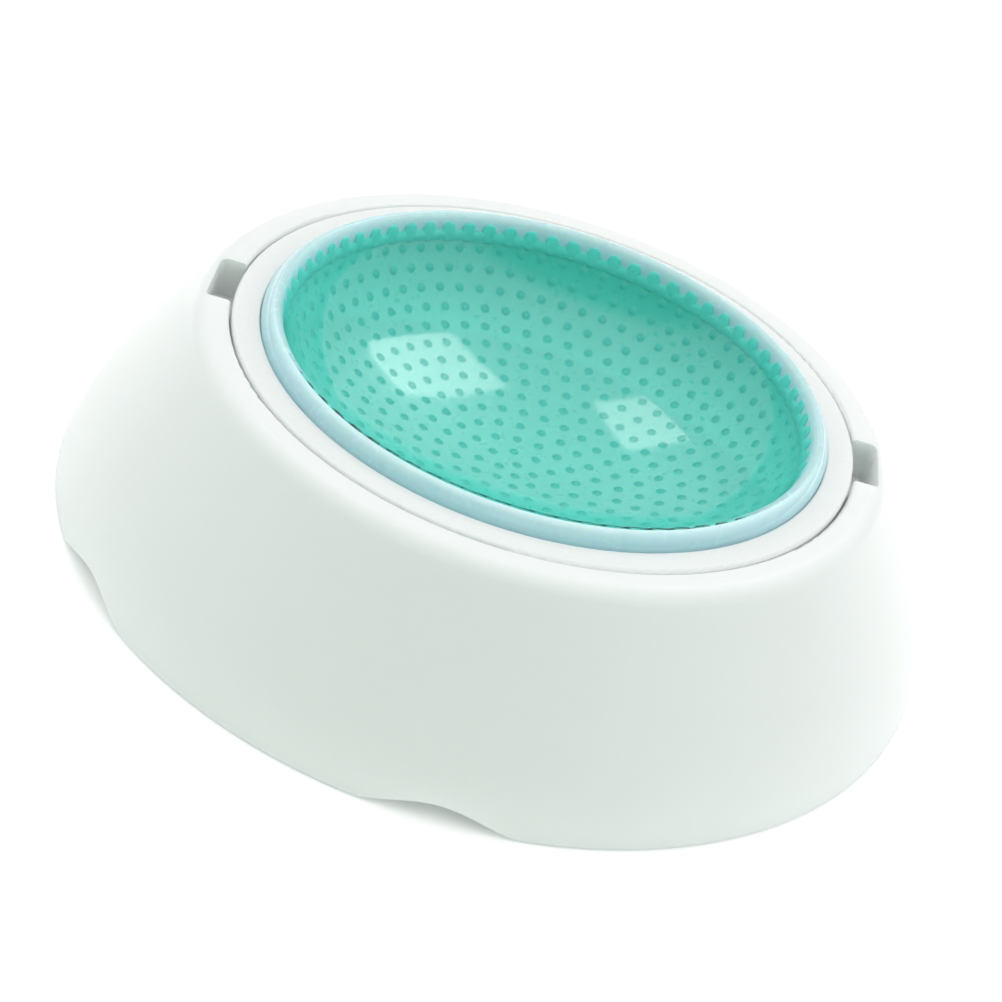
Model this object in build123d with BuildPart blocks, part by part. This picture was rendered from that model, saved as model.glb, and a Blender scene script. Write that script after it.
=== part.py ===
"""Chilled pet bowl: a flared white base that holds a lift-out gel-core bowl insert.

Millimetres, +Z up. The origin is on the table, under the bowl's axis.
The base carries the insulated well, its closing cover, screws and feet.
The insert is a clear dish and an outer cup, with cooling gel sealed between them.
"""

from build123d import *
from math import acos, asin, cos, degrees, radians, sin, tan
import os

os.makedirs("parts", exist_ok=True)

# ---- driving dimensions -------------------------------------------------------------
RIM_HEIGHT = 50.5  # the base rim and the insert's flange share this level
FOOT_RADIUS = 108.0  # widest circle of the skirt, at its lower edge
WALL = 2.6  # moulded wall of the base
PADS = 6  # feet under the skirt, with a screw between each pair
PAD_PITCH = 360 / PADS

# skirt outline
EDGE_GAP = 0.6  # the lower edge clears the table, because the feet carry the load
RIM_FLAT_RADIUS = 80.2  # outer edge of the rim's flat top
CROWN_RADIUS = 5.0  # rounding from the rim into the skirt
SHOULDER_SLOPE = 30.5  # draft of the skirt's straight upper part, from vertical
SKIRT_BREAK = 22.0  # below this height the skirt curves in to meet the foot

# arches in the lower edge, a pair towards each side of the left end
ARCH_ANGLES = (-144.5, -90.0, 90.0, 144.5)
ARCH_LIFT = 3.9
ARCH_HALF_ANGLE = 11.5
ARCH_UNDERCUT = 0.3  # the arch's curve starts this far below the edge

# seat for the insert in the top of the base
SEAT_RADIUS = 76.1
SEAT_DEPTH = 4.1
LEDGE_BORE = 72.2
LEDGE_THICKNESS = 2.4
LEDGE_TOP = RIM_HEIGHT - SEAT_DEPTH
LEDGE_BOTTOM = LEDGE_TOP - LEDGE_THICKNESS

# finger notches, one each side of the rim
NOTCH_OUTER = 81.6
NOTCH_INNER = 73.9
NOTCH_WIDTH = 18.5
NOTCH_DEPTH = 10.0
NOTCH_SKIN = 2.0
NOTCH_CORNER = 1.6

# closing cover under the base
COVER_BOTTOM = 4.6
COVER_THICKNESS = 2.0
COVER_TOP = COVER_BOTTOM + COVER_THICKNESS
COVER_RADIUS = 103.2
COVER_RIB_RADIUS = 58.0
COVER_RIB_WIDTH = 1.6
COVER_RIB_DROP = 1.6

# feet, inside the lower edge
FOOT_CIRCLE = 93.6
PAD_RADIUS = 7.0
PAD_HEIGHT = 3.2
PAD_EDGE = 0.6
SOCKET_WALL = 1.6
SOCKET_BOTTOM = 1.8

# screws into pillars that stand between the feet
PILLAR_CIRCLE = 80.5
PILLAR_RADIUS = 4.0
PILOT_RADIUS = 1.25
PILOT_DEPTH = 10.0
SCREW_SHANK = 1.45
SCREW_CLEARANCE = 1.8
SCREW_LENGTH = 9.0
SCREW_HEAD_RADIUS = 3.0
SCREW_HEAD_HEIGHT = 1.7
DRIVE_SLOT = (3.4, 0.8)
DRIVE_DEPTH = 0.9

# dish of the insert: a side arc that blends into a flatter floor arc
LIP_INNER = 63.0
SIDE_ARC = 32.0
SIDE_TOP_DROP = 1.0
SIDE_TOP_SLOPE = 72.0  # slope of the side at the lip, from horizontal
BLEND_SLOPE = 24.0  # slope where the side meets the floor arc

# layers of the insert, measured outwards from the dish's food surface
LINER_WALL = 1.8
GEL_THICKNESS = 5.0
SHELL_WALL = 1.5
GEL_FILM = 0.05  # bedding gap on each side of the gel
SHELL_INSIDE = LINER_WALL + GEL_THICKNESS
SHELL_OUTSIDE = SHELL_INSIDE + SHELL_WALL

# layers of the well in the base
WELL_CLEARANCE = 0.8
WELL_WALL = 1.6
FOAM_GAP = 0.15
WELL_INSIDE = SHELL_OUTSIDE + WELL_CLEARANCE
WELL_OUTSIDE = WELL_INSIDE + WELL_WALL
WELL_NECK = 70.5
WELL_COLLAR = LEDGE_BORE - 0.1
WELL_FLANGE = 75.6
WELL_FLANGE_THICKNESS = 1.6
WELL_CUTOUT = NOTCH_WIDTH + 2 * NOTCH_SKIN + 1.0
FOAM_RADIUS = 75.4
FOAM_TOP = 36.0

# rim of the insert
FLANGE_RADIUS = 75.5
FLANGE_BORE = 69.0
FLANGE_PLATE = 1.4
FLANGE_DEPTH = 3.8
FLANGE_APRON = 1.2
FLANGE_EDGE = 0.8
TAB_RADIUS = 74.1  # liner and shell tabs inside the flange's apron
TAB_THICKNESS = 1.0
SHELL_TAB = 1.2
SHELL_NECK = 68.2
LIP_OUTER = 68.8
LIP_CREST = 65.9
LIP_RISE = 4.2
LIP_FOOT = 0.2
GEL_TOP_DROP = 2.7
SEAL_INNER = 71.0
SEAL_WIDTH = 1.4
SEAL_HEIGHT = 0.8
SEAL_GROOVE = 0.6

# fill plug under the gel shell
PLUG_BOSS_RADIUS = 9.0
PLUG_BOSS_HEIGHT = 3.2
PLUG_HEAD_RADIUS = 6.0
PLUG_HEAD_HEIGHT = 1.0
PLUG_STEM = 3.9
PLUG_BORE = 4.0
PLUG_GROOVE = 2.9
PLUG_SEAL_SECTION = 0.55
PLUG_FIT = 0.1

# ---- dish geometry ------------------------------------------------------------------
SIDE_CENTRE_R = LIP_INNER - SIDE_ARC * sin(radians(SIDE_TOP_SLOPE))
SIDE_CENTRE_Z = RIM_HEIGHT - SIDE_TOP_DROP + SIDE_ARC * cos(radians(SIDE_TOP_SLOPE))
FLOOR_ARC = SIDE_ARC + SIDE_CENTRE_R / sin(radians(BLEND_SLOPE))
FLOOR_CENTRE_Z = SIDE_CENTRE_Z + SIDE_CENTRE_R / tan(radians(BLEND_SLOPE))


def on_side(layer, slope):
    """Point on the side arc of the surface that lies a layer outside the dish."""
    reach = SIDE_ARC + layer
    angle = radians(slope)
    return (SIDE_CENTRE_R + reach * sin(angle), SIDE_CENTRE_Z - reach * cos(angle))


def on_floor(layer, slope):
    """Point on the floor arc of the surface that lies a layer outside the dish."""
    reach = FLOOR_ARC + layer
    angle = radians(slope)
    return (reach * sin(angle), FLOOR_CENTRE_Z - reach * cos(angle))


def slope_at_radius(layer, radius):
    """Slope of the side arc where it reaches a radius."""
    return degrees(asin((radius - SIDE_CENTRE_R) / (SIDE_ARC + layer)))


def slope_at_height(layer, height):
    """Slope of the side arc where it reaches a height."""
    return degrees(acos((SIDE_CENTRE_Z - height) / (SIDE_ARC + layer)))


def draw_dish(layer, top_slope):
    """Draws a dish surface from the axis up to a slope, and gives its two end points."""
    start = on_floor(layer, 0)
    blend = on_side(layer, BLEND_SLOPE)
    top = on_side(layer, top_slope)
    ThreePointArc(start, on_floor(layer, BLEND_SLOPE / 2), blend)
    ThreePointArc(blend, on_side(layer, (BLEND_SLOPE + top_slope) / 2), top)
    return start, top


# ---- base shell ---------------------------------------------------------------------
slope = radians(SHOULDER_SLOPE)
skirt_heading = (sin(slope), -cos(slope))


def crown_point(radius, angle):
    """Point on the rim's rounding, with the angle measured up from horizontal."""
    rise = radius * sin(radians(angle))
    out = radius * cos(radians(angle))
    return (RIM_FLAT_RADIUS + out, RIM_HEIGHT - CROWN_RADIUS + rise)


def draw_skirt(radius, foot):
    """Draws the rim's rounding and the skirt below it, down to the foot point."""
    crown_end = crown_point(radius, SHOULDER_SLOPE)
    crown_middle = crown_point(radius, (90 + SHOULDER_SLOPE) / 2)
    ThreePointArc(crown_point(radius, 90), crown_middle, crown_end)
    skirt_break = (crown_end[0] + (crown_end[1] - SKIRT_BREAK) * tan(slope), SKIRT_BREAK)
    Line(crown_end, skirt_break)
    TangentArc(skirt_break, foot, tangent=skirt_heading)


outer_foot = (FOOT_RADIUS, EDGE_GAP)
inner_foot = (FOOT_RADIUS - WALL, EDGE_GAP)
arch_half_width = FOOT_RADIUS * sin(radians(ARCH_HALF_ANGLE))

with BuildPart() as arch_cutter:
    with BuildSketch(Plane.XZ.offset(-FOOT_CIRCLE)):
        with BuildLine():
            low = EDGE_GAP - ARCH_UNDERCUT
            middle = low + (ARCH_LIFT + ARCH_UNDERCUT) / 2
            Spline(
                (-arch_half_width, low),
                (-arch_half_width / 2, middle),
                (0, EDGE_GAP + ARCH_LIFT),
                (arch_half_width / 2, middle),
                (arch_half_width, low),
                tangents=[(1, 0), (1, 0)],
            )
            Polyline(
                (arch_half_width, low),
                (arch_half_width, -EDGE_GAP),
                (-arch_half_width, -EDGE_GAP),
                (-arch_half_width, low),
            )
        make_face()
    extrude(amount=-2 * (FOOT_RADIUS - FOOT_CIRCLE))

with BuildPart() as base_shell:
    with BuildSketch(Plane.XZ) as shell_section:
        with BuildLine():
            draw_skirt(CROWN_RADIUS, outer_foot)
            Line(outer_foot, inner_foot)
            draw_skirt(CROWN_RADIUS - WALL, inner_foot)
            Polyline(
                crown_point(CROWN_RADIUS - WALL, 90),
                (SEAT_RADIUS + WALL, RIM_HEIGHT - WALL),
                (SEAT_RADIUS + WALL, LEDGE_BOTTOM),
                (LEDGE_BORE, LEDGE_BOTTOM),
                (LEDGE_BORE, LEDGE_TOP),
                (SEAT_RADIUS, LEDGE_TOP),
                (SEAT_RADIUS, RIM_HEIGHT),
                crown_point(CROWN_RADIUS, 90),
            )
        make_face()
        seat_corner = shell_section.vertices().sort_by_distance((SEAT_RADIUS, RIM_HEIGHT))[0]
        fillet(seat_corner, radius=FLANGE_EDGE)
    revolve(axis=Axis.Z)

    # walls of the finger notches, hanging under the rim
    notch_floor = RIM_HEIGHT - NOTCH_DEPTH
    with BuildSketch(Plane.XY.offset(notch_floor - NOTCH_SKIN)):
        block_end = NOTCH_OUTER + NOTCH_SKIN
        with Locations((block_end / 2, 0), (-block_end / 2, 0)):
            Rectangle(block_end, NOTCH_WIDTH + 2 * NOTCH_SKIN)
        Circle(LEDGE_BORE, mode=Mode.SUBTRACT)
    extrude(amount=NOTCH_DEPTH + NOTCH_SKIN - WALL)
    with BuildSketch(Plane.XY.offset(LEDGE_TOP)):
        Circle(SEAT_RADIUS)
    extrude(amount=SEAT_DEPTH - WALL, mode=Mode.SUBTRACT)

    # screw pillars under the ledge
    with BuildSketch(Plane.XY.offset(COVER_TOP)):
        with PolarLocations(PILLAR_CIRCLE, PADS, start_angle=PAD_PITCH / 2):
            Circle(PILLAR_RADIUS)
    extrude(amount=LEDGE_BOTTOM + LEDGE_THICKNESS / 2 - COVER_TOP)

    # the notches themselves, open at the top and under the insert's flange
    with BuildSketch(Plane.XY.offset(notch_floor)) as notch_plan:
        with Locations((NOTCH_OUTER / 2, 0), (-NOTCH_OUTER / 2, 0)):
            Rectangle(NOTCH_OUTER, NOTCH_WIDTH)
        Circle(NOTCH_INNER, mode=Mode.SUBTRACT)
        far_corners = notch_plan.vertices().filter_by(lambda v: abs(v.X) > NOTCH_OUTER - 1)
        fillet(far_corners, radius=NOTCH_CORNER)
    extrude(amount=NOTCH_DEPTH + 1, mode=Mode.SUBTRACT)

    # pilot holes up the pillars
    with BuildSketch(Plane.XY.offset(COVER_TOP)):
        with PolarLocations(PILLAR_CIRCLE, PADS, start_angle=PAD_PITCH / 2):
            Circle(PILOT_RADIUS)
    extrude(amount=PILOT_DEPTH, mode=Mode.SUBTRACT)

    # arches in the lower edge
    for arch_angle in ARCH_ANGLES:
        with Locations(Rotation(0, 0, arch_angle - 90)):
            add(arch_cutter.part, mode=Mode.SUBTRACT)
base_shell.part.label = "base_shell"
export_step(base_shell.part, "parts/base_shell.step")

# ---- insulated well -----------------------------------------------------------------
with BuildPart() as well_cup:
    with BuildSketch(Plane.XZ):
        with BuildLine():
            inner_start, inner_top = draw_dish(
                WELL_INSIDE, slope_at_radius(WELL_INSIDE, WELL_NECK)
            )
            outer_start, outer_top = draw_dish(
                WELL_OUTSIDE, slope_at_radius(WELL_OUTSIDE, WELL_COLLAR)
            )
            Line(inner_start, outer_start)
            Polyline(
                inner_top,
                (WELL_NECK, LEDGE_TOP),
                (WELL_COLLAR, LEDGE_TOP),
                outer_top,
            )
        make_face()
    revolve(axis=Axis.Z)
    # flange that bears up against the ledge, broken at the finger notches
    with BuildSketch(Plane.XY.offset(LEDGE_BOTTOM - WELL_FLANGE_THICKNESS)):
        Circle(WELL_FLANGE)
        Circle(WELL_COLLAR, mode=Mode.SUBTRACT)
        with Locations((FOOT_RADIUS / 2, 0), (-FOOT_RADIUS / 2, 0)):
            Rectangle(FOOT_RADIUS, WELL_CUTOUT, mode=Mode.SUBTRACT)
    extrude(amount=WELL_FLANGE_THICKNESS)
well_cup.part.label = "well_cup"
export_step(well_cup.part, "parts/well_cup.step")

with BuildPart() as insulation:
    with BuildSketch(Plane.XZ):
        with BuildLine():
            foam_layer = WELL_OUTSIDE + FOAM_GAP
            foam_base = COVER_TOP + FOAM_GAP
            foam_start, foam_top = draw_dish(foam_layer, slope_at_height(foam_layer, FOAM_TOP))
            Polyline(
                foam_start,
                (0, foam_base),
                (FOAM_RADIUS, foam_base),
                (FOAM_RADIUS, FOAM_TOP),
                foam_top,
            )
        make_face()
    revolve(axis=Axis.Z)
insulation.part.label = "insulation"
export_step(insulation.part, "parts/insulation.step")

# ---- closing cover, screws and feet -------------------------------------------------
with BuildPart() as bottom_cover:
    with BuildSketch(Plane.XY.offset(COVER_BOTTOM)):
        Circle(COVER_RADIUS)
    extrude(amount=COVER_THICKNESS)
    with BuildSketch(Plane.XY.offset(COVER_BOTTOM)):
        Circle(COVER_RIB_RADIUS)
        Circle(COVER_RIB_RADIUS - COVER_RIB_WIDTH, mode=Mode.SUBTRACT)
    extrude(amount=-COVER_RIB_DROP)
    with BuildSketch(Plane.XY.offset(SOCKET_BOTTOM)):
        with PolarLocations(FOOT_CIRCLE, PADS):
            Circle(PAD_RADIUS + SOCKET_WALL)
    extrude(amount=COVER_BOTTOM - SOCKET_BOTTOM)
    with BuildSketch(Plane.XY.offset(SOCKET_BOTTOM)):
        with PolarLocations(FOOT_CIRCLE, PADS):
            Circle(PAD_RADIUS)
    extrude(amount=PAD_HEIGHT - SOCKET_BOTTOM, mode=Mode.SUBTRACT)
    with BuildSketch(Plane.XY.offset(COVER_BOTTOM)):
        with PolarLocations(PILLAR_CIRCLE, PADS, start_angle=PAD_PITCH / 2):
            Circle(SCREW_CLEARANCE)
    extrude(amount=COVER_THICKNESS, mode=Mode.SUBTRACT)
bottom_cover.part.label = "bottom_cover"
export_step(bottom_cover.part, "parts/bottom_cover.step")

with BuildPart() as cover_screws:
    with PolarLocations(PILLAR_CIRCLE, PADS, start_angle=PAD_PITCH / 2):
        with Locations((0, 0, COVER_BOTTOM)):
            Cylinder(
                SCREW_HEAD_RADIUS,
                SCREW_HEAD_HEIGHT,
                align=(Align.CENTER, Align.CENTER, Align.MAX),
            )
            Cylinder(
                SCREW_SHANK,
                SCREW_LENGTH,
                align=(Align.CENTER, Align.CENTER, Align.MIN),
            )
    head_bottom = COVER_BOTTOM - SCREW_HEAD_HEIGHT
    with BuildSketch(Plane.XY.offset(head_bottom)):
        with PolarLocations(PILLAR_CIRCLE, PADS, start_angle=PAD_PITCH / 2):
            Rectangle(*DRIVE_SLOT)
            Rectangle(*reversed(DRIVE_SLOT))
    extrude(amount=DRIVE_DEPTH, mode=Mode.SUBTRACT)
cover_screws.part.label = "cover_screws"
export_step(cover_screws.part, "parts/cover_screws.step")

for number in range(PADS):
    angle = radians(number * PAD_PITCH)
    with BuildPart() as foot_pad:
        with BuildSketch(Plane.XY):
            with Locations((FOOT_CIRCLE * cos(angle), FOOT_CIRCLE * sin(angle))):
                Circle(PAD_RADIUS)
        extrude(amount=PAD_HEIGHT)
        fillet(foot_pad.edges().group_by(Axis.Z)[0], radius=PAD_EDGE)
    name = f"foot_pad_{number + 1}"
    foot_pad.part.label = name
    export_step(foot_pad.part, f"parts/{name}.step")

# ---- insert: rim --------------------------------------------------------------------
plate_bottom = RIM_HEIGHT - FLANGE_PLATE
flange_bottom = RIM_HEIGHT - FLANGE_DEPTH
tab_bottom = plate_bottom - TAB_THICKNESS
shell_tab_top = flange_bottom + SHELL_TAB

with BuildPart() as flange_ring:
    with BuildSketch(Plane.XZ) as ring_section:
        with BuildLine():
            Polyline(
                (FLANGE_BORE, plate_bottom),
                (FLANGE_BORE, RIM_HEIGHT),
                (FLANGE_RADIUS, RIM_HEIGHT),
                (FLANGE_RADIUS, flange_bottom),
                (FLANGE_RADIUS - FLANGE_APRON, flange_bottom),
                (FLANGE_RADIUS - FLANGE_APRON, plate_bottom),
                close=True,
            )
        make_face()
        outer_corner = ring_section.vertices().sort_by_distance((FLANGE_RADIUS, RIM_HEIGHT))[0]
        fillet(outer_corner, radius=FLANGE_EDGE)
        inner_corner = ring_section.vertices().sort_by_distance((FLANGE_BORE, RIM_HEIGHT))[0]
        fillet(inner_corner, radius=FLANGE_EDGE / 2)
    revolve(axis=Axis.Z)
flange_ring.part.label = "flange_ring"
export_step(flange_ring.part, "parts/flange_ring.step")

with BuildPart() as clear_liner:
    with BuildSketch(Plane.XZ):
        with BuildLine():
            food_start, food_top = draw_dish(0, SIDE_TOP_SLOPE)
            back_start, back_top = draw_dish(LINER_WALL, slope_at_height(LINER_WALL, tab_bottom))
            Line(food_start, back_start)
            crest = (LIP_CREST, RIM_HEIGHT + LIP_RISE)
            lip_foot = (LIP_OUTER, RIM_HEIGHT + LIP_FOOT)
            rising = radians(SIDE_TOP_SLOPE)
            Spline(food_top, crest, tangents=[(cos(rising), sin(rising)), (1, 0)])
            Spline(crest, lip_foot, tangents=[(1, 0), (0, -1)])
            Polyline(
                lip_foot,
                (LIP_OUTER, plate_bottom),
                (TAB_RADIUS, plate_bottom),
                (TAB_RADIUS, tab_bottom),
                back_top,
            )
        make_face()
    revolve(axis=Axis.Z)
clear_liner.part.label = "clear_liner"
export_step(clear_liner.part, "parts/clear_liner.step")

with BuildPart() as rim_seal:
    with BuildSketch(Plane.XY.offset(tab_bottom - SEAL_HEIGHT)):
        Circle(SEAL_INNER + SEAL_WIDTH)
        Circle(SEAL_INNER, mode=Mode.SUBTRACT)
    extrude(amount=SEAL_HEIGHT)
rim_seal.part.label = "rim_seal"
export_step(rim_seal.part, "parts/rim_seal.step")

# ---- insert: gel and its outer shell ------------------------------------------------
shell_base = on_floor(SHELL_OUTSIDE, 0)[1]
boss_top = shell_base + PLUG_BOSS_HEIGHT

with BuildPart() as gel_shell:
    with BuildSketch(Plane.XZ):
        with BuildLine():
            inside_start, inside_top = draw_dish(
                SHELL_INSIDE, slope_at_radius(SHELL_INSIDE, SHELL_NECK)
            )
            shell_waist = SHELL_NECK + SHELL_WALL
            outside_start, outside_top = draw_dish(
                SHELL_OUTSIDE, slope_at_radius(SHELL_OUTSIDE, shell_waist)
            )
            Line(inside_start, outside_start)
            Polyline(
                inside_top,
                (SHELL_NECK, shell_tab_top),
                (TAB_RADIUS, shell_tab_top),
                (TAB_RADIUS, flange_bottom),
                (shell_waist, flange_bottom),
                outside_top,
            )
        make_face()
    revolve(axis=Axis.Z)
    with BuildSketch(Plane.XY.offset(shell_base + SHELL_WALL / 2)):
        Circle(PLUG_BOSS_RADIUS)
    extrude(amount=PLUG_BOSS_HEIGHT - SHELL_WALL / 2)
    with BuildSketch(Plane.XY.offset(shell_base)):
        Circle(PLUG_BORE)
    extrude(amount=PLUG_BOSS_HEIGHT, mode=Mode.SUBTRACT)
    with BuildSketch(Plane.XY.offset(shell_base)):
        Circle(PLUG_HEAD_RADIUS + PLUG_FIT)
    extrude(amount=PLUG_HEAD_HEIGHT, mode=Mode.SUBTRACT)
    with BuildSketch(Plane.XY.offset(shell_tab_top - SEAL_GROOVE)):
        Circle(SEAL_INNER + SEAL_WIDTH)
        Circle(SEAL_INNER, mode=Mode.SUBTRACT)
    extrude(amount=SEAL_GROOVE, mode=Mode.SUBTRACT)
gel_shell.part.label = "gel_shell"
export_step(gel_shell.part, "parts/gel_shell.step")

with BuildPart() as gel_core:
    with BuildSketch(Plane.XZ):
        with BuildLine():
            gel_top = RIM_HEIGHT - GEL_TOP_DROP
            near_layer = LINER_WALL + GEL_FILM
            near_start, near_top = draw_dish(near_layer, slope_at_height(near_layer, gel_top))
            far_layer = SHELL_INSIDE - GEL_FILM
            gel_neck = SHELL_NECK - GEL_FILM
            far_start, far_top = draw_dish(far_layer, slope_at_radius(far_layer, gel_neck))
            Line(near_start, far_start)
            Polyline(near_top, (gel_neck, gel_top), far_top)
        make_face()
    revolve(axis=Axis.Z)
    with BuildSketch(Plane.XY.offset(shell_base)):
        Circle(PLUG_BOSS_RADIUS + GEL_FILM)
    extrude(amount=PLUG_BOSS_HEIGHT + GEL_FILM, mode=Mode.SUBTRACT)
gel_core.part.label = "gel_core"
export_step(gel_core.part, "parts/gel_core.step")

with BuildPart() as fill_plug:
    groove_level = shell_base + (PLUG_HEAD_HEIGHT + PLUG_BOSS_HEIGHT) / 2
    with BuildSketch(Plane.XY.offset(shell_base)):
        Circle(PLUG_HEAD_RADIUS)
    extrude(amount=PLUG_HEAD_HEIGHT)
    with BuildSketch(Plane.XY.offset(shell_base)):
        Circle(PLUG_STEM)
    extrude(amount=PLUG_BOSS_HEIGHT)
    with BuildSketch(Plane.XY.offset(groove_level - PLUG_SEAL_SECTION)):
        Circle(PLUG_STEM)
        Circle(PLUG_GROOVE, mode=Mode.SUBTRACT)
    extrude(amount=2 * PLUG_SEAL_SECTION, mode=Mode.SUBTRACT)
fill_plug.part.label = "fill_plug"
export_step(fill_plug.part, "parts/fill_plug.step")

with BuildPart() as plug_seal:
    with Locations((0, 0, groove_level)):
        Torus(PLUG_GROOVE + PLUG_SEAL_SECTION, PLUG_SEAL_SECTION)
plug_seal.part.label = "plug_seal"
export_step(plug_seal.part, "parts/plug_seal.step")
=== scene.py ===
"""Chilled pet bowl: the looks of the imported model, in metres, in its own frame."""

from math import acos, asin, atan2, cos, pi, radians, sin, sqrt, tan

import bpy
from mathutils import Matrix, Vector
from mathutils.geometry import delaunay_2d_cdt


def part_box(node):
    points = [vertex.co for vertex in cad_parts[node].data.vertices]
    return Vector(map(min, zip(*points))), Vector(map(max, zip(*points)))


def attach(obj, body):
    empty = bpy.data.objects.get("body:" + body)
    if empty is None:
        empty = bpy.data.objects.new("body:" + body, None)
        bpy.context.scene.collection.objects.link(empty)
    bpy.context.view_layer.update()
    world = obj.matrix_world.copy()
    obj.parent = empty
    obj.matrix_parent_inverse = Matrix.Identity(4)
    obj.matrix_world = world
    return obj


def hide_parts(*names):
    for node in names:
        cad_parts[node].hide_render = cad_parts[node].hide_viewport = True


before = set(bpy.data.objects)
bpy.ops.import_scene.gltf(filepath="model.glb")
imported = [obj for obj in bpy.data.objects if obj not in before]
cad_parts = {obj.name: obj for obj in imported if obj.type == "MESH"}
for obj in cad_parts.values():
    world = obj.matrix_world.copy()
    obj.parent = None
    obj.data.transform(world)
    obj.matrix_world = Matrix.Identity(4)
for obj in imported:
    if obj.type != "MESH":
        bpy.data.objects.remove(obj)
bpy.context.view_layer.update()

MM = 0.001

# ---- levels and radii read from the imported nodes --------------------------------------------
RIM_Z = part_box("base_shell")[1].z
FOOT_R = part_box("base_shell")[1].x
LINER_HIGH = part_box("clear_liner")[1]
TAB_R = LINER_HIGH.x
CREST_Z = LINER_HIGH.z
GEL_EDGE_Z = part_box("gel_core")[1].z + 0.25 * MM
SHELL_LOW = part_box("gel_shell")[0].z

# ---- the dish's section: a side arc that blends into a flatter floor arc ----------------------
LIP_INNER = 63.0 * MM
SIDE_ARC = 32.0 * MM
SIDE_TOP_DROP = 1.0 * MM
SIDE_TOP_SLOPE = radians(72)
BLEND_SLOPE = radians(24)
# the side arc's centre is at this radius and height, and the floor arc's is on the axis
SIDE_R = LIP_INNER - SIDE_ARC * sin(SIDE_TOP_SLOPE)
SIDE_Z = RIM_Z - SIDE_TOP_DROP + SIDE_ARC * cos(SIDE_TOP_SLOPE)
FLOOR_ARC = SIDE_ARC + SIDE_R / sin(BLEND_SLOPE)
FLOOR_Z = SIDE_Z + SIDE_R / tan(BLEND_SLOPE)

# ---- layers of the insert, outwards from the dish's food surface ------------------------------
LINER_WALL = 1.8 * MM
GEL_THICKNESS = 5.0 * MM
GEL_FILM = 0.05 * MM
GEL_TOP_LAYER = LINER_WALL + GEL_FILM
GEL_LOW_LAYER = LINER_WALL + GEL_THICKNESS - GEL_FILM
PLATE_BOTTOM = RIM_Z - 1.4 * MM
TAB_BOTTOM = PLATE_BOTTOM - 1.0 * MM
GEL_NECK = 68.15 * MM

# ---- the shell's boss for the fill plug, which the gel goes round -----------------------------
BOSS_R = 9.0 * MM + GEL_FILM
BOSS_TOP = SHELL_LOW + 3.2 * MM + GEL_FILM
BOSS_MARGIN = 0.5 * MM

# ---- the raised lip, with the length of the tangents that shape its two curves ----------------
LIP_CREST_R = 65.9 * MM
LIP_FOOT_R = 68.8 * MM
LIP_FOOT_Z = RIM_Z + 0.2 * MM
LIP_INNER_PULL = 4.6 * MM
LIP_OUTER_PULL = 0.8 * LIP_INNER_PULL
LIP_STEPS = 12

# ---- the lip's milky core: radius and height above the rim, in mm -----------------------------
CORE_INNER = [(65.0, -2.55), (65.0, -0.1), (65.05, 1.4), (65.3, 2.5), (65.7, 3.3)]
CORE_CROWN = [(66.1, 3.7), (66.65, 3.4), (67.25, 2.6), (67.8, 1.3)]
CORE_FOOT = [(68.1, -0.1), (68.1, -2.55)]
CORE_TINT_START = RIM_Z + 1.5 * MM
CORE_TINT_CLOUD = 1.5 * MM

# ---- the nubs of the gel, in rings round the dish ---------------------------------------------
NUBS_ROUND = 72
NUB_RADIUS = 1.2 * MM
NUB_PITCH = 5.6 * MM
RING_PITCH = 5.2 * MM
NUB_HEIGHT = 0.35 * MM
# rings of points on one nub: reach in nub radii, share of its height, points, and how dark
NUB_SHAPE = (
    (0.0, 1.0, 1, 1.0),
    (0.45, 0.86, 8, 1.0),
    (0.8, 0.5, 10, 1.0),
    (1.0, 0.15, 12, 0.5),
    (1.35, 0.0, 12, 0.0),
)
ARC_STEPS = 400
TRIANGULATION_GAP = 1e-7

# ---- points round the axis of every turned surface --------------------------------------------
TURN_STEPS = 4 * NUBS_ROUND

# ---- the upright nubs at the gel's edge, and the collar that they stand in --------------------
# ends and collar are radius and height above the rim, in mm
BEAD_ENDS = [(64.1, -3.5), (64.75, 1.7)]
BEAD_HALF_WIDTH = 1.85 * MM
BEAD_HALF_DEPTH = 0.6 * MM
BEAD_BLUNTNESS = 0.6
BEAD_ROWS = 9
BEAD_COLUMNS = 14
COLLAR = [(64.4, -3.9), (63.8, -2.5), (63.85, -1.7), (64.05, -0.9), (64.5, -0.4), (65.1, -0.6), (65.1, -3.9)]

# ---- finishes: where the middle of a noise lies, and the gel's scattered light ----------------
NOISE_MIDDLE = (0.3, 0.7)
BROAD_MIDDLE = (0.35, 0.65)
BUMP_DISTANCE = 0.2 * MM
GEL_LIGHT = (0.14, 0.85, 0.73, 1)
GEL_LIGHT_STRENGTH = 0.12

# ---- the camera: its angles, then its distance and its offset to the side and up in foot radii -
VIEW_AZIMUTH = radians(-3)
VIEW_ELEVATION = radians(33.28)
VIEW_ROLL = radians(-17.6)
VIEW_DISTANCE = 5.493
VIEW_OFFSET = (0.0148, 0.0895)
SENSOR_WIDTH_MM = 36
FOCAL_LENGTH_MM = 86.2

# ---- the room ---------------------------------------------------------------------------------
FLOOR_HALF = 4.0
# the shade is full within about 51 degrees of this direction, and none is left beyond about 65
SHADE_DIRECTION = (-0.8, -4.6, -1.0)
SHADE_START = 2.05
SHADE_FULL = 3.0
SHADE_COLOUR = (0.0, 0.24, 0.08)
OVERHEAD_START = 0.25
SIDE_LIGHT = 0.94
OVERHEAD_LIGHT = 1.45
MIRRORED_SHARE = 0.22

# ---- the windows ------------------------------------------------------------------------------
WINDOW_DISTANCE = 0.8
# name, slope and angle of the point that mirrors it, direction of its long side, size, radiance
WINDOWS = (
    ("window_left", 0.372, radians(137), (-0.444, -0.62, 0.646), (0.33, 0.22), 1.9),
    ("window_right", 0.355, radians(45.3), (-0.265, 0.787, -0.556), (0.22, 0.13), 1.7),
)


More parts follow.
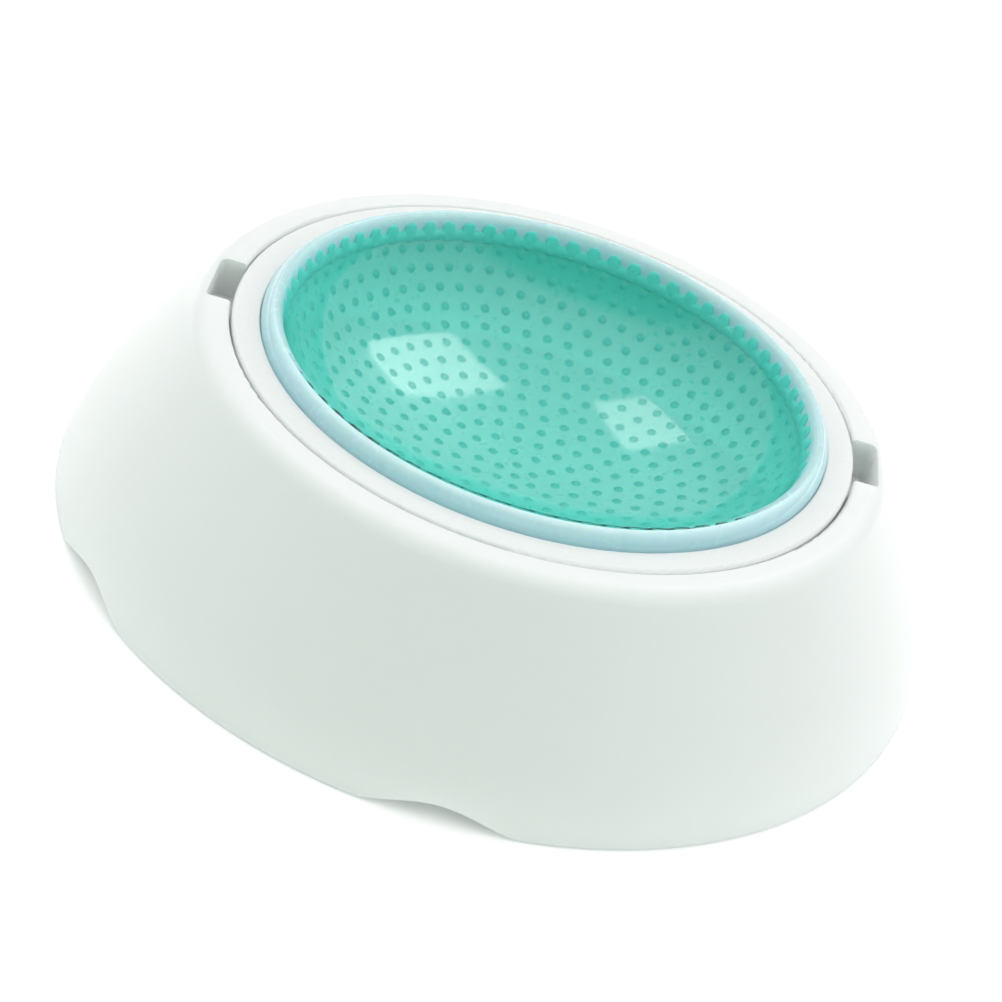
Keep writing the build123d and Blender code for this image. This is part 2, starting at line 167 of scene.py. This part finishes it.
# ---- section helpers --------------------------------------------------------------------------
def from_rim(points):
    """Points of (radius, height above the rim) in mm, as (radius, height) in metres."""
    return [(r * MM, RIM_Z + h * MM) for r, h in points]


def dish_point(layer, slope):
    """(radius, height) on the surface that lies a layer outside the dish."""
    if slope < BLEND_SLOPE:
        reach = FLOOR_ARC + layer
        return reach * sin(slope), FLOOR_Z - reach * cos(slope)
    reach = SIDE_ARC + layer
    return SIDE_R + reach * sin(slope), SIDE_Z - reach * cos(slope)


def slope_at_height(layer, height):
    """The slope where a layer's side reaches a height."""
    return acos((SIDE_Z - height) / (SIDE_ARC + layer))


def slope_at_radius(layer, radius):
    """The slope where a layer's side reaches a radius."""
    return asin((radius - SIDE_R) / (SIDE_ARC + layer))


def dish_line(layer, top_slope, floor_steps=20, side_steps=28):
    """Points up the dish's section, from the axis to a slope."""
    rise = top_slope - BLEND_SLOPE
    slopes = [BLEND_SLOPE * i / floor_steps for i in range(floor_steps)]
    slopes += [BLEND_SLOPE + rise * i / side_steps for i in range(side_steps + 1)]
    return [dish_point(layer, slope) for slope in slopes]


def hermite(a, b, ta, tb, steps):
    """Points on a cubic from a to b, with end tangents, without the first point."""
    points = []
    for i in range(1, steps + 1):
        t = i / steps
        h1 = 2 * t**3 - 3 * t**2 + 1
        h2 = t**3 - 2 * t**2 + t
        h3 = 3 * t**2 - 2 * t**3
        h4 = t**3 - t**2
        points.append(tuple(h1 * a[k] + h2 * ta[k] + h3 * b[k] + h4 * tb[k] for k in (0, 1)))
    return points


def arc_table(layer, top_slope):
    """(arc length, slope) pairs up the section, for placing nubs at even spacing."""
    pairs = [(0.0, 0.0)]
    last = dish_point(layer, 0)
    for i in range(1, ARC_STEPS + 1):
        slope = top_slope * i / ARC_STEPS
        here = dish_point(layer, slope)
        step = sqrt((here[0] - last[0]) ** 2 + (here[1] - last[1]) ** 2)
        pairs.append((pairs[-1][0] + step, slope))
        last = here
    return pairs


def slope_at_arc(pairs, length):
    """The slope at an arc length, read between two rows of the table."""
    low, high = 0, len(pairs) - 1
    while high - low > 1:
        middle = (low + high) // 2
        if pairs[middle][0] <= length:
            low = middle
        else:
            high = middle
    span = pairs[high][0] - pairs[low][0]
    t = (length - pairs[low][0]) / span
    return pairs[low][1] + t * (pairs[high][1] - pairs[low][1])


# ---- mesh helpers -----------------------------------------------------------------------------
def make_object(name, verts, faces, material, sharp):
    """A smooth mesh object, with sharp edges where its faces turn by more than so many degrees."""
    mesh = bpy.data.meshes.new(name)
    mesh.from_pydata(verts, [], faces)
    mesh.validate()
    mesh.update()
    mesh.materials.append(material)
    mesh.polygons.foreach_set("use_smooth", [True] * len(mesh.polygons))
    mesh.set_sharp_from_angle(angle=radians(sharp))
    obj = bpy.data.objects.new(name, mesh)
    bpy.context.scene.collection.objects.link(obj)
    return obj


def turn_profile(profile):
    """Vertices and quads of an open profile turned round the axis.

    The quads face outwards where the profile runs out along the top, up the inside or down the outside.
    """
    verts = []
    for r, z in profile:
        for k in range(TURN_STEPS):
            a = 2 * pi * k / TURN_STEPS
            verts.append((r * cos(a), r * sin(a), z))
    faces = []
    for i in range(len(profile) - 1):
        here = i * TURN_STEPS
        above = here + TURN_STEPS
        for k in range(TURN_STEPS):
            n = (k + 1) % TURN_STEPS
            faces.append((above + k, above + n, here + n, here + k))
    return verts, faces


def turn_loop(loop):
    """Vertices and outward quads of a closed section, which starts up its inside, turned round the axis."""
    verts, faces = turn_profile(loop)
    last = (len(loop) - 1) * TURN_STEPS
    for k in range(TURN_STEPS):
        n = (k + 1) % TURN_STEPS
        faces.append((k, n, last + n, last + k))
    return verts, faces


# ---- node helpers -----------------------------------------------------------------------------
def new_material(name):
    material = bpy.data.materials.new(name)
    material.use_nodes = True
    nodes = material.node_tree.nodes
    return material, nodes, material.node_tree.links, nodes["Principled BSDF"]


def noise(nodes, links, scale, detail=2.0):
    coords = nodes.new("ShaderNodeTexCoord")
    texture = nodes.new("ShaderNodeTexNoise")
    texture.inputs["Scale"].default_value = scale
    texture.inputs["Detail"].default_value = detail
    links.new(coords.outputs["Object"], texture.inputs["Vector"])
    return texture.outputs["Fac"]


def spread(nodes, links, factor, low, high, a, b):
    """A number that goes from a to b as the factor goes from low to high."""
    node = nodes.new("ShaderNodeMapRange")
    node.inputs["From Min"].default_value = low
    node.inputs["From Max"].default_value = high
    node.inputs["To Min"].default_value = a
    node.inputs["To Max"].default_value = b
    links.new(factor, node.inputs["Value"])
    return node.outputs["Result"]


def ramp(nodes, links, factor, low, high, a, b):
    """A colour that goes from a to b as the factor goes from low to high."""
    node = nodes.new("ShaderNodeMix")
    node.data_type = "RGBA"
    links.new(spread(nodes, links, factor, low, high, 0, 1), node.inputs["Factor"])
    node.inputs["A"].default_value = (*a, 1)
    node.inputs["B"].default_value = (*b, 1)
    return node.outputs["Result"]


def calculate(nodes, links, operation, *values):
    """A Math node whose inputs are numbers or sockets."""
    node = nodes.new("ShaderNodeMath")
    node.operation = operation
    for socket, value in zip(node.inputs, values):
        if isinstance(value, (int, float)):
            socket.default_value = value
        else:
            links.new(value, socket)
    return node.outputs["Value"]


def set_roughness(nodes, links, bsdf, grain, low, high):
    """Roughness that varies with a noise."""
    links.new(spread(nodes, links, grain, *NOISE_MIDDLE, low, high), bsdf.inputs["Roughness"])


def set_bump(nodes, links, bsdf, height, strength):
    node = nodes.new("ShaderNodeBump")
    node.inputs["Strength"].default_value = strength
    node.inputs["Distance"].default_value = BUMP_DISTANCE
    links.new(height, node.inputs["Height"])
    links.new(node.outputs["Normal"], bsdf.inputs["Normal"])


def set_gel_light(bsdf):
    """A faint light of its own, which stands for light scattered inside the gel."""
    bsdf.inputs["Emission Color"].default_value = GEL_LIGHT
    bsdf.inputs["Emission Strength"].default_value = GEL_LIGHT_STRENGTH


# ---- materials --------------------------------------------------------------------------------
def plastic(name, colour, shade, roughness=0.3, grain=2500, relief=0.01, glow=0.0, metal=0.0):
    """A moulded or foamed finish with broad colour variation and a fine grain."""
    material, nodes, links, bsdf = new_material(name)
    broad = noise(nodes, links, 14)
    fine = noise(nodes, links, grain)
    links.new(ramp(nodes, links, broad, *BROAD_MIDDLE, colour, shade), bsdf.inputs["Base Color"])
    set_roughness(nodes, links, bsdf, fine, roughness - 0.04, roughness + 0.06)
    set_bump(nodes, links, bsdf, fine, relief)
    bsdf.inputs["Metallic"].default_value = metal
    bsdf.inputs["Subsurface Weight"].default_value = glow
    bsdf.inputs["Subsurface Radius"].default_value = (0.9, 1.0, 0.95)
    bsdf.inputs["Subsurface Scale"].default_value = 7.0 * MM
    return material


def clear_plastic():
    """The dish's clear plastic, which lets shadow rays straight through."""
    material, nodes, links, bsdf = new_material("clear_plastic")
    bsdf.inputs["Base Color"].default_value = (1, 1, 1, 1)
    bsdf.inputs["Transmission Weight"].default_value = 1.0
    bsdf.inputs["IOR"].default_value = 1.49
    set_roughness(nodes, links, bsdf, noise(nodes, links, 60), 0.04, 0.08)
    path = nodes.new("ShaderNodeLightPath")
    clear = nodes.new("ShaderNodeBsdfTransparent")
    mix = nodes.new("ShaderNodeMixShader")
    links.new(path.outputs["Is Shadow Ray"], mix.inputs["Fac"])
    links.new(bsdf.outputs["BSDF"], mix.inputs[1])
    links.new(clear.outputs["BSDF"], mix.inputs[2])
    links.new(mix.outputs["Shader"], nodes["Material Output"].inputs["Surface"])
    return material


def lip_plastic():
    """The lip's milky plastic, bluer low down and paler at its crest."""
    material, nodes, links, bsdf = new_material("lip_milk")
    low_tint = (0.56, 0.85, 0.93)
    crest_tint = (0.66, 0.89, 0.94)
    coords = nodes.new("ShaderNodeTexCoord")
    split = nodes.new("ShaderNodeSeparateXYZ")
    links.new(coords.outputs["Object"], split.inputs["Vector"])
    cloud = calculate(nodes, links, "MULTIPLY", noise(nodes, links, 30), CORE_TINT_CLOUD)
    height = calculate(nodes, links, "ADD", split.outputs["Z"], cloud)
    tint = ramp(nodes, links, height, CORE_TINT_START, CREST_Z, low_tint, crest_tint)
    links.new(tint, bsdf.inputs["Base Color"])
    set_roughness(nodes, links, bsdf, noise(nodes, links, 300), 0.2, 0.3)
    bsdf.inputs["Subsurface Weight"].default_value = 0.5
    bsdf.inputs["Subsurface Scale"].default_value = 2.0 * MM
    return material


def gel_material():
    """Teal gel, a little darker on the nubs that the mesh marks."""
    material, nodes, links, bsdf = new_material("teal_gel")
    mark = nodes.new("ShaderNodeAttribute")
    mark.attribute_name = "nub"
    broad = noise(nodes, links, 25, 3.0)
    teal = ramp(nodes, links, broad, *BROAD_MIDDLE, (0.05, 0.56, 0.47), (0.045, 0.535, 0.447))
    mix = nodes.new("ShaderNodeMix")
    mix.data_type = "RGBA"
    mix.inputs["B"].default_value = (0.042, 0.51, 0.43, 1)
    links.new(teal, mix.inputs["A"])
    links.new(mark.outputs["Fac"], mix.inputs["Factor"])
    links.new(mix.outputs["Result"], bsdf.inputs["Base Color"])
    fine = noise(nodes, links, 500)
    set_roughness(nodes, links, bsdf, fine, 0.25, 0.4)
    set_bump(nodes, links, bsdf, fine, 0.15)
    bsdf.inputs["Subsurface Weight"].default_value = 0.35
    bsdf.inputs["Subsurface Radius"].default_value = (0.3, 1.0, 0.9)
    bsdf.inputs["Subsurface Scale"].default_value = 3.0 * MM
    set_gel_light(bsdf)
    return material


def bead_material():
    """The brighter teal of the upright nubs and their collar."""
    material, nodes, links, bsdf = new_material("teal_bead")
    fine = noise(nodes, links, 400)
    teal = ramp(nodes, links, fine, *NOISE_MIDDLE, (0.10, 0.72, 0.63), (0.12, 0.76, 0.68))
    links.new(teal, bsdf.inputs["Base Color"])
    set_roughness(nodes, links, bsdf, fine, 0.25, 0.4)
    set_gel_light(bsdf)
    return material


def floor_material():
    """A pale matt paper."""
    material, nodes, links, bsdf = new_material("floor_paper")
    fine = noise(nodes, links, 40, 3.0)
    pale = ramp(nodes, links, fine, *NOISE_MIDDLE, (0.95, 0.95, 0.95), (0.945, 0.945, 0.945))
    links.new(pale, bsdf.inputs["Base Color"])
    bsdf.inputs["Roughness"].default_value = 0.9
    bsdf.inputs["Specular IOR Level"].default_value = 0.0
    bsdf.inputs["Emission Color"].default_value = (1, 1, 1, 1)
    bsdf.inputs["Emission Strength"].default_value = 0.15
    return material


# ---- pieces -----------------------------------------------------------------------------------
def liner_profile():
    """The clear dish's section: up its food surface, over the lip, round the tab and back underneath."""
    food = dish_line(0, SIDE_TOP_SLOPE)
    crest = (LIP_CREST_R, CREST_Z)
    foot = (LIP_FOOT_R, LIP_FOOT_Z)
    rising = (LIP_INNER_PULL * cos(SIDE_TOP_SLOPE), LIP_INNER_PULL * sin(SIDE_TOP_SLOPE))
    inner = hermite(food[-1], crest, rising, (LIP_INNER_PULL, 0), LIP_STEPS)
    outer = hermite(crest, foot, (LIP_OUTER_PULL, 0), (0, -LIP_OUTER_PULL), LIP_STEPS)
    tab = [(LIP_FOOT_R, PLATE_BOTTOM), (TAB_R, PLATE_BOTTOM), (TAB_R, TAB_BOTTOM)]
    back = dish_line(LINER_WALL, slope_at_height(LINER_WALL, TAB_BOTTOM))[::-1]
    return food + inner + outer + tab + back


def make_liner():
    """The clear dish, with its raised lip."""
    profile = liner_profile()
    verts, faces = turn_profile(profile[1:-1])
    top = len(verts)
    last = top - TURN_STEPS
    verts += [(0, 0, profile[0][1]), (0, 0, profile[-1][1])]
    for k in range(TURN_STEPS):
        n = (k + 1) % TURN_STEPS
        faces.append((k, n, top))
        faces.append((last + n, last + k, top + 1))
    obj = make_object("liner_clear", verts, faces, clear_plastic(), 50)
    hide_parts("clear_liner")
    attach(obj, "insert")


def make_lip_core():
    """The milky thickness inside the raised lip."""
    verts, faces = turn_loop(from_rim(CORE_INNER + CORE_CROWN + CORE_FOOT))
    obj = make_object("lip_core", verts, faces, lip_plastic(), 70)
    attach(obj, "insert")


def nub_points(length, angle, radius):
    """One nub at an arc length up the section, as (arc length, angle, rise, dark) points."""
    points = []
    for reach, rise, number, dark in NUB_SHAPE:
        for p in range(number):
            turn = 2 * pi * p / number
            up = NUB_RADIUS * reach * cos(turn)
            side = NUB_RADIUS * reach * sin(turn)
            points.append((length + up, angle + side / max(radius, RING_PITCH / 2), rise, dark))
    return points


def centre_nub_points():
    """The nub on the axis, in the same form."""
    points = []
    for reach, rise, number, dark in NUB_SHAPE:
        for p in range(number):
            points.append((NUB_RADIUS * reach, 2 * pi * p / number, rise, dark))
    return points


def studded_points(pairs):
    """Points of the gel's upper face: its edge, then rings of nubs from the edge inwards."""
    total = pairs[-1][0]
    points = [(total, 2 * pi * k / TURN_STEPS, 0, 0) for k in range(TURN_STEPS)]
    for ring in range(int(total / RING_PITCH) + 1):
        length = total - (ring + 0.5) * RING_PITCH
        if length < RING_PITCH / 3:
            points += centre_nub_points()
            break
        radius = dish_point(GEL_TOP_LAYER, slope_at_arc(pairs, length))[0]
        number = max(1, min(NUBS_ROUND, round(2 * pi * radius / NUB_PITCH)))
        for k in range(number):
            points += nub_points(length, 2 * pi * (k + 0.5 * (ring % 2)) / number, radius)
    return points


def studded_face():
    """The gel's upper face: vertices, triangles, each vertex's mark, and the edge's vertices in order.

    Its points are joined on a flat map, where a point's distance from the centre is its arc length.
    """
    pairs = arc_table(GEL_TOP_LAYER, slope_at_height(GEL_TOP_LAYER, GEL_EDGE_Z))
    total = pairs[-1][0]
    points = studded_points(pairs)
    flat = [Vector((length * cos(angle), length * sin(angle))) for length, angle, _, _ in points]
    found, _, triangles, origin, _, _ = delaunay_2d_cdt(flat, [], [], 0, TRIANGULATION_GAP)
    verts, marks = [], []
    edge = {}
    for i, point in enumerate(found):
        source = origin[i][0]
        rise, dark = points[source][2:]
        slope = slope_at_arc(pairs, min(point.length, total))
        r, z = dish_point(GEL_TOP_LAYER - NUB_HEIGHT * rise, slope)
        angle = atan2(point.y, point.x)
        verts.append((r * cos(angle), r * sin(angle), z))
        marks.append(dark)
        if source < TURN_STEPS:
            edge[source] = i
    return verts, [tuple(t) for t in triangles], marks, [edge[k] for k in range(TURN_STEPS)]


def gel_underside():
    """The gel's section below its upper face, from the edge to the top of the plug's boss."""
    neck_slope = slope_at_radius(GEL_LOW_LAYER, GEL_NECK)
    bowl = dish_line(GEL_LOW_LAYER, neck_slope, floor_steps=12, side_steps=20)[::-1]
    bowl = [point for point in bowl if point[0] > BOSS_R + BOSS_MARGIN]
    return [(GEL_NECK, GEL_EDGE_Z)] + bowl + [(BOSS_R, bowl[-1][1]), (BOSS_R, BOSS_TOP)]


def make_gel():
    """The gel: a studded upper face, and a smooth one against its shell."""
    verts, faces, marks, previous = studded_face()
    for r, z in gel_underside():
        ring = []
        for k in range(TURN_STEPS):
            a = 2 * pi * k / TURN_STEPS
            ring.append(len(verts))
            verts.append((r * cos(a), r * sin(a), z))
        for k in range(TURN_STEPS):
            n = (k + 1) % TURN_STEPS
            faces.append((previous[k], ring[k], ring[n], previous[n]))
        previous = ring
    centre = len(verts)
    verts.append((0, 0, BOSS_TOP))
    for k in range(TURN_STEPS):
        faces.append((previous[k], centre, previous[(k + 1) % TURN_STEPS]))
    marks += [0.0] * (len(verts) - len(marks))
    obj = make_object("gel_body", verts, faces, gel_material(), 60)
    obj.data.attributes.new("nub", "FLOAT", "POINT").data.foreach_set("value", marks)
    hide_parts("gel_core")
    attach(obj, "insert")


def bead_points(turn):
    """One upright nub at a turn round the axis: its two poles, then rows of points between them."""
    low, high = from_rim(BEAD_ENDS)
    middle = ((low[0] + high[0]) / 2, (low[1] + high[1]) / 2)
    half = ((high[0] - low[0]) / 2, (high[1] - low[1]) / 2)
    half_long = sqrt(half[0] ** 2 + half[1] ** 2)
    lean, rise = half[0] / half_long, half[1] / half_long

    def place(along, side, deep):
        r = middle[0] + half[0] * along + rise * deep
        z = middle[1] + half[1] * along - lean * deep
        return (r * cos(turn) - side * sin(turn), r * sin(turn) + side * cos(turn), z)

    verts = [place(-1, 0, 0), place(1, 0, 0)]
    for i in range(1, BEAD_ROWS):
        v = pi * i / BEAD_ROWS
        width = sin(v) ** BEAD_BLUNTNESS
        for j in range(BEAD_COLUMNS):
            h = 2 * pi * j / BEAD_COLUMNS
            verts.append(place(-cos(v), BEAD_HALF_WIDTH * width * sin(h), BEAD_HALF_DEPTH * width * cos(h)))
    return verts


def bead_faces(first):
    """Faces of one nub whose points start at an index."""
    faces = []
    last_row = 2 + (BEAD_ROWS - 2) * BEAD_COLUMNS
    for j in range(BEAD_COLUMNS):
        n = (j + 1) % BEAD_COLUMNS
        faces.append((first, first + 2 + n, first + 2 + j))
        faces.append((first + 1, first + last_row + j, first + last_row + n))
        for row in range(2, last_row, BEAD_COLUMNS):
            above = row + BEAD_COLUMNS
            faces.append((first + row + j, first + row + n, first + above + n, first + above + j))
    return faces


def make_beads():
    """The upright nubs inside the lip, in one row, and the collar of gel that they stand in."""
    verts, faces = turn_loop(from_rim(COLLAR))
    for b in range(NUBS_ROUND):
        faces += bead_faces(len(verts))
        verts += bead_points(2 * pi * b / NUBS_ROUND)
    obj = make_object("gel_beads", verts, faces, bead_material(), 60)
    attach(obj, "insert")


def dress_nodes():
    """Materials of the CAD nodes that keep their shape. The two that are replaced get none."""
    white = plastic("base_white", (0.86, 0.885, 0.877), (0.85, 0.88, 0.87), 0.35, glow=0.5)
    ring = plastic("flange_white", (0.87, 0.89, 0.885), (0.86, 0.885, 0.878), 0.3, glow=0.3)
    inner = plastic("inner_white", (0.74, 0.76, 0.75), (0.70, 0.73, 0.72), 0.5, 500, 0.1)
    foam = plastic("foam", (0.85, 0.84, 0.80), (0.78, 0.77, 0.72), 0.9, 300, 0.6)
    rubber = plastic("foot_rubber", (0.22, 0.23, 0.23), (0.18, 0.19, 0.19), 0.75, 700, 0.3)
    seal = plastic("seal_silicone", (0.55, 0.58, 0.58), (0.48, 0.52, 0.52), 0.55, 600, 0.1)
    shell = plastic("teal_shell", (0.06, 0.42, 0.36), (0.05, 0.38, 0.32), 0.35)
    steel = plastic("screw_steel", (0.55, 0.56, 0.57), (0.48, 0.49, 0.50), 0.35, 800, 0.1, metal=1.0)
    finish = {
        "base_shell": white, "flange_ring": ring, "fill_plug": ring, "well_cup": inner, "bottom_cover": inner,
        "insulation": foam, "cover_screws": steel, "rim_seal": seal, "plug_seal": seal, "gel_shell": shell,
    }
    for name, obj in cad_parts.items():
        material = rubber if name.startswith("foot_pad") else finish.get(name)
        if material is None:
            continue
        if not obj.material_slots:
            obj.data.materials.append(material)
        for slot in obj.material_slots:
            slot.material = material


# ---- stage ------------------------------------------------------------------------------------
def make_floor():
    half = FLOOR_HALF
    corners = [(-half, -half, 0), (half, -half, 0), (half, half, 0), (-half, half, 0)]
    obj = make_object("floor", corners, [(0, 1, 2, 3)], floor_material(), 35)


def view_axes():
    """The camera's right, up and back directions."""
    across = cos(VIEW_ELEVATION)
    back = Vector((sin(VIEW_AZIMUTH) * across, -cos(VIEW_AZIMUTH) * across, sin(VIEW_ELEVATION)))
    level = Vector((cos(VIEW_AZIMUTH), sin(VIEW_AZIMUTH), 0))
    up = back.cross(level)
    right = level * cos(VIEW_ROLL) - up * sin(VIEW_ROLL)
    top = up * cos(VIEW_ROLL) + level * sin(VIEW_ROLL)
    return right, top, back


def make_camera():
    """The camera, and the place where it stands."""
    right, up, back = view_axes()
    place = FOOT_R * (VIEW_DISTANCE * back + VIEW_OFFSET[0] * right + VIEW_OFFSET[1] * up)
    data = bpy.data.cameras.new("camera")
    data.sensor_width = SENSOR_WIDTH_MM
    data.lens = FOCAL_LENGTH_MM
    data.clip_start = 0.01
    camera = bpy.data.objects.new("camera", data)
    camera.matrix_world = Matrix.Translation(place) @ Matrix((right, up, back)).transposed().to_4x4()
    bpy.context.scene.collection.objects.link(camera)
    bpy.context.scene.camera = camera
    return place


def area_light(name, place, turn, size, radiance):
    """A soft rectangular light, with its size in metres and its brightness as a radiance."""
    data = bpy.data.lights.new(name, "AREA")
    data.shape = "RECTANGLE"
    data.size, data.size_y = size
    data.energy = radiance * pi * size[0] * size[1]
    obj = bpy.data.objects.new(name, data)
    obj.matrix_world = Matrix.Translation(place) @ turn.to_4x4()
    bpy.context.scene.collection.objects.link(obj)


def window_light(eye, name, slope, angle, along, size, radiance):
    """A light that the camera sees mirrored in the dish, at the point with that slope and angle."""
    r, z = dish_point(0, slope)
    point = Vector((r * cos(angle), r * sin(angle), z))
    normal = Vector((-sin(slope) * cos(angle), -sin(slope) * sin(angle), cos(slope)))
    ray = (point - eye).normalized()
    away = ray - 2 * ray.dot(normal) * normal
    long_side = Vector(along)
    long_side = (long_side - long_side.dot(away) * away).normalized()
    turn = Matrix((long_side, away.cross(long_side), away)).transposed()
    area_light(name, point + WINDOW_DISTANCE * away, turn, size, radiance)


def light_room():
    """Soft white surroundings: brighter overhead, dim and green low in front, fainter where mirrored."""
    world = bpy.data.worlds.new("room")
    world.use_nodes = True
    nodes, links = world.node_tree.nodes, world.node_tree.links
    background = nodes["Background"]
    coords = nodes.new("ShaderNodeTexCoord")
    facing = nodes.new("ShaderNodeVectorMath")
    facing.operation = "DOT_PRODUCT"
    facing.inputs[1].default_value = SHADE_DIRECTION
    links.new(coords.outputs["Generated"], facing.inputs[0])
    towards = facing.outputs["Value"]
    shade = ramp(nodes, links, towards, SHADE_START, SHADE_FULL, (1.0, 1.0, 1.0), SHADE_COLOUR)
    links.new(shade, background.inputs["Color"])
    path = nodes.new("ShaderNodeLightPath")
    mirrored = calculate(
        nodes, links, "MULTIPLY", path.outputs["Is Glossy Ray"], path.outputs["Is Reflection Ray"]
    )
    split = nodes.new("ShaderNodeSeparateXYZ")
    links.new(coords.outputs["Generated"], split.inputs["Vector"])
    overhead = spread(nodes, links, split.outputs["Z"], OVERHEAD_START, 1.0, SIDE_LIGHT, OVERHEAD_LIGHT)
    dimming = spread(nodes, links, mirrored, 0, 1, 1.0, MIRRORED_SHARE)
    strength = calculate(nodes, links, "MULTIPLY", overhead, dimming)
    links.new(strength, background.inputs["Strength"])
    bpy.context.scene.world = world


bpy.context.scene.view_settings.view_transform = "Standard"
eye = make_camera()
make_floor()
light_room()
for window in WINDOWS:
    window_light(eye, *window)
dress_nodes()
make_liner()
make_lip_core()
make_gel()
make_beads()
